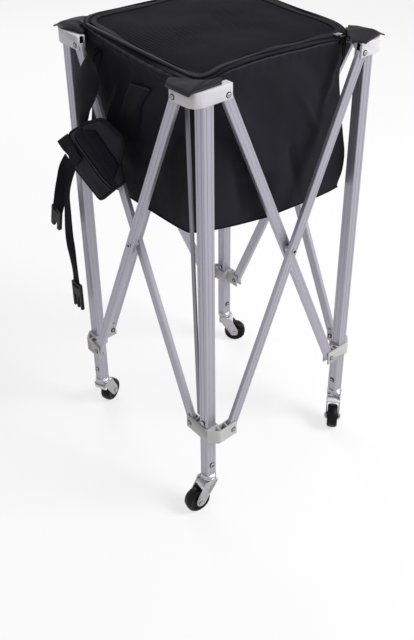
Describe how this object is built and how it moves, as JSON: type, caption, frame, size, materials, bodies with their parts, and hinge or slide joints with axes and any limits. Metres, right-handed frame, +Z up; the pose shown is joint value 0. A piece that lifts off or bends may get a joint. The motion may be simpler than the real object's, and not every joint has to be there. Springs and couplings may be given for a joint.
{
  "type": "tennis ball hopper",
  "caption": "Square fabric ball bag with a zipped lid in a folding frame of crossed flat bars, with sliding collars, swivel casters and a padded shoulder strap.",
  "frame": {"origin": "on the floor, midway between the four legs", "axes": "+Z up; the corner nearest the viewer of the picture is at -X -Y, the shoulder strap hangs on the -X side"},
  "size_m": [0.4635, 0.4844, 0.9067],
  "materials": {
    "legs": "satin anodised",
    "bars": "satin anodised",
    "brackets": "moulded, satin",
    "sliders": "moulded, satin",
    "steel": "zinc plated, bright",
    "tyre": "moulded",
    "cloth": "woven, soft folds",
    "lid_mesh": "open mesh",
    "webbing": "woven",
    "plastic": "moulded"
  },
  "bodies": {
    "near_leg": {"leg_near": "legs", "bracket_near": "brackets", "plug_near": "steel", "ear_near": "cloth", "bag_near_left": "cloth", "bag_near_right": "cloth", "bag_floor": "cloth", "stay_rod": "bars"},
    "left_leg": {"leg_left": "legs", "bracket_left": "brackets", "plug_left": "steel", "ear_left": "cloth", "bag_back_left": "cloth", "strap": "webbing", "strap_pad": "webbing", "webbing_short": "webbing", "webbing_long": "webbing", "buckle_female": "plastic", "buckle_male": "plastic"},
    "right_leg": {"leg_right": "legs", "bracket_right": "brackets", "plug_right": "steel", "ear_right": "cloth", "bag_back_right": "cloth", "zip_pull": "plastic"},
    "back_leg": {"leg_back": "legs", "bracket_back": "brackets", "plug_back": "steel", "ear_back": "cloth"},
    "near_left_bar": {"bar_near_to_left": "bars", "crossing_left_near": "steel"},
    "left_near_bar": {"bar_left_to_near": "bars"},
    "near_right_bar": {"bar_near_to_right": "bars"},
    "right_near_bar": {"bar_right_to_near": "bars", "crossing_near_right": "steel"},
    "left_back_bar": {"bar_left_to_back": "bars", "crossing_back_left": "steel"},
    "back_left_bar": {"bar_back_to_left": "bars"},
    "right_back_bar": {"bar_right_to_back": "bars"},
    "back_right_bar": {"bar_back_to_right": "bars", "crossing_right_back": "steel"},
    "lid": {"bag_lid": "lid_mesh"},
    "near_slider": {"slider_near": "sliders"},
    "near_fork": {"fork_near": "steel", "axle_near": "steel"},
    "near_wheel": {"wheel_near": "tyre"},
    "right_slider": {"slider_right": "sliders"},
    "right_fork": {"fork_right": "steel", "axle_right": "steel"},
    "right_wheel": {"wheel_right": "tyre"},
    "back_slider": {"slider_back": "sliders"},
    "back_fork": {"fork_back": "steel", "axle_back": "steel"},
    "back_wheel": {"wheel_back": "tyre"},
    "left_slider": {"slider_left": "sliders"},
    "left_fork": {"fork_left": "steel", "axle_left": "steel"},
    "left_wheel": {"wheel_left": "tyre"},
    "near_button": {"button_near": "steel"},
    "back_button": {"button_back": "steel"}
  },
  "joints": [
    {"name": "fold", "type": "hinge", "parent": "near_leg", "child": "near_left_bar", "pos_m": [-0.207, -0.147, 0.876], "axis": [-1, 0, 0], "range_deg": [0, 19], "deforming": ["bag_near_left", "bag_near_right", "bag_back_left", "bag_back_right", "bag_floor", "bag_lid", "strap"]},
    {"name": "cross_near_left", "type": "hinge", "parent": "near_left_bar", "child": "left_near_bar", "pos_m": [-0.207, 0, 0.537], "axis": [-1, 0, 0], "range_deg": [-38, 0]},
    {"name": "top_left", "type": "hinge", "parent": "left_near_bar", "child": "left_leg", "pos_m": [-0.19, 0.147, 0.876], "axis": [-1, 0, 0], "range_deg": [0, 19]},
    {"name": "low_left", "type": "hinge", "parent": "near_left_bar", "child": "left_slider", "pos_m": [-0.207, 0.147, 0.198], "axis": [-1, 0, 0], "range_deg": [-19, 0]},
    {"name": "low_near", "type": "hinge", "parent": "left_near_bar", "child": "near_slider", "pos_m": [-0.19, -0.147, 0.198], "axis": [-1, 0, 0], "range_deg": [0, 19]},
    {"name": "top_near", "type": "hinge", "parent": "near_leg", "child": "near_right_bar", "pos_m": [-0.147, -0.19, 0.876], "axis": [0, 1, 0], "range_deg": [0, 19]},
    {"name": "cross_near_right", "type": "hinge", "parent": "near_right_bar", "child": "right_near_bar", "pos_m": [0, -0.19, 0.537], "axis": [0, 1, 0], "range_deg": [-38, 0]},
    {"name": "top_right", "type": "hinge", "parent": "right_near_bar", "child": "right_leg", "pos_m": [0.147, -0.207, 0.876], "axis": [0, 1, 0], "range_deg": [0, 19]},
    {"name": "low_right", "type": "hinge", "parent": "near_right_bar", "child": "right_slider", "pos_m": [0.147, -0.19, 0.198], "axis": [0, 1, 0], "range_deg": [-19, 0]},
    {"name": "back_left_fold", "type": "hinge", "parent": "left_leg", "child": "left_back_bar", "pos_m": [-0.147, 0.207, 0.876], "axis": [0, 1, 0], "range_deg": [0, 19]},
    {"name": "cross_back_left", "type": "hinge", "parent": "left_back_bar", "child": "back_left_bar", "pos_m": [0, 0.207, 0.537], "axis": [0, 1, 0], "range_deg": [-38, 0]},
    {"name": "top_back", "type": "hinge", "parent": "back_left_bar", "child": "back_leg", "pos_m": [0.147, 0.19, 0.876], "axis": [0, 1, 0], "range_deg": [0, 19]},
    {"name": "low_back", "type": "hinge", "parent": "left_back_bar", "child": "back_slider", "pos_m": [0.147, 0.207, 0.198], "axis": [0, 1, 0], "range_deg": [-19, 0]},
    {"name": "back_right_fold", "type": "hinge", "parent": "right_leg", "child": "right_back_bar", "pos_m": [0.19, -0.147, 0.876], "axis": [-1, 0, 0], "range_deg": [0, 19]},
    {"name": "cross_back_right", "type": "hinge", "parent": "right_back_bar", "child": "back_right_bar", "pos_m": [0.19, 0, 0.537], "axis": [-1, 0, 0], "range_deg": [-38, 0]},
    {"name": "swivel_near", "type": "hinge", "parent": "near_leg", "child": "near_fork", "pos_m": [-0.184, -0.184, 0.076], "axis": [0, 0, 1], "continuous": true},
    {"name": "roll_near", "type": "hinge", "parent": "near_fork", "child": "near_wheel", "pos_m": [-0.21074, -0.18024, 0.026], "axis": [-0.1392, -0.9903, 0], "continuous": true},
    {"name": "swivel_right", "type": "hinge", "parent": "right_leg", "child": "right_fork", "pos_m": [0.184, -0.184, 0.076], "axis": [0, 0, 1], "continuous": true},
    {"name": "roll_right", "type": "hinge", "parent": "right_fork", "child": "right_wheel", "pos_m": [0.16332, -0.20136, 0.026], "axis": [0.6428, -0.766, 0], "continuous": true},
    {"name": "swivel_back", "type": "hinge", "parent": "back_leg", "child": "back_fork", "pos_m": [0.184, 0.184, 0.076], "axis": [0, 0, 1], "continuous": true},
    {"name": "roll_back", "type": "hinge", "parent": "back_fork", "child": "back_wheel", "pos_m": [0.20342, 0.16524, 0.026], "axis": [0.6947, 0.7193, 0], "continuous": true},
    {"name": "swivel_left", "type": "hinge", "parent": "left_leg", "child": "left_fork", "pos_m": [-0.184, 0.184, 0.076], "axis": [0, 0, 1], "continuous": true},
    {"name": "roll_left", "type": "hinge", "parent": "left_fork", "child": "left_wheel", "pos_m": [-0.15933, 0.19498, 0.026], "axis": [-0.4067, 0.9135, 0], "continuous": true},
    {"name": "press_near", "type": "slide", "parent": "near_leg", "child": "near_button", "axis": [1, 0, 0], "range_m": [0, 0.0036], "stiffness_N_per_m": 900, "springref_m": -0.002},
    {"name": "press_back", "type": "slide", "parent": "back_leg", "child": "back_button", "axis": [1, 0, 0], "range_m": [0, 0.0036], "stiffness_N_per_m": 900, "springref_m": -0.002},
    {"name": "lid_hinge", "type": "hinge", "parent": "right_leg", "child": "lid", "pos_m": [0.166, 0, 0.8985], "axis": [0, 1, 0], "range_deg": [0, 120]}
  ],
  "couplings": [
    {"joint": "cross_near_left", "follows": "fold", "ratio": -2},
    {"joint": "top_left", "follows": "fold", "ratio": 1},
    {"joint": "low_left", "follows": "fold", "ratio": -1},
    {"joint": "low_near", "follows": "fold", "ratio": 1},
    {"joint": "top_near", "follows": "fold", "ratio": 1},
    {"joint": "cross_near_right", "follows": "fold", "ratio": -2},
    {"joint": "top_right", "follows": "fold", "ratio": 1},
    {"joint": "low_right", "follows": "fold", "ratio": -1},
    {"joint": "back_left_fold", "follows": "fold", "ratio": 1},
    {"joint": "cross_back_left", "follows": "fold", "ratio": -2},
    {"joint": "top_back", "follows": "fold", "ratio": 1},
    {"joint": "low_back", "follows": "fold", "ratio": -1},
    {"joint": "back_right_fold", "follows": "fold", "ratio": 1},
    {"joint": "cross_back_right", "follows": "fold", "ratio": -2}
  ]
}
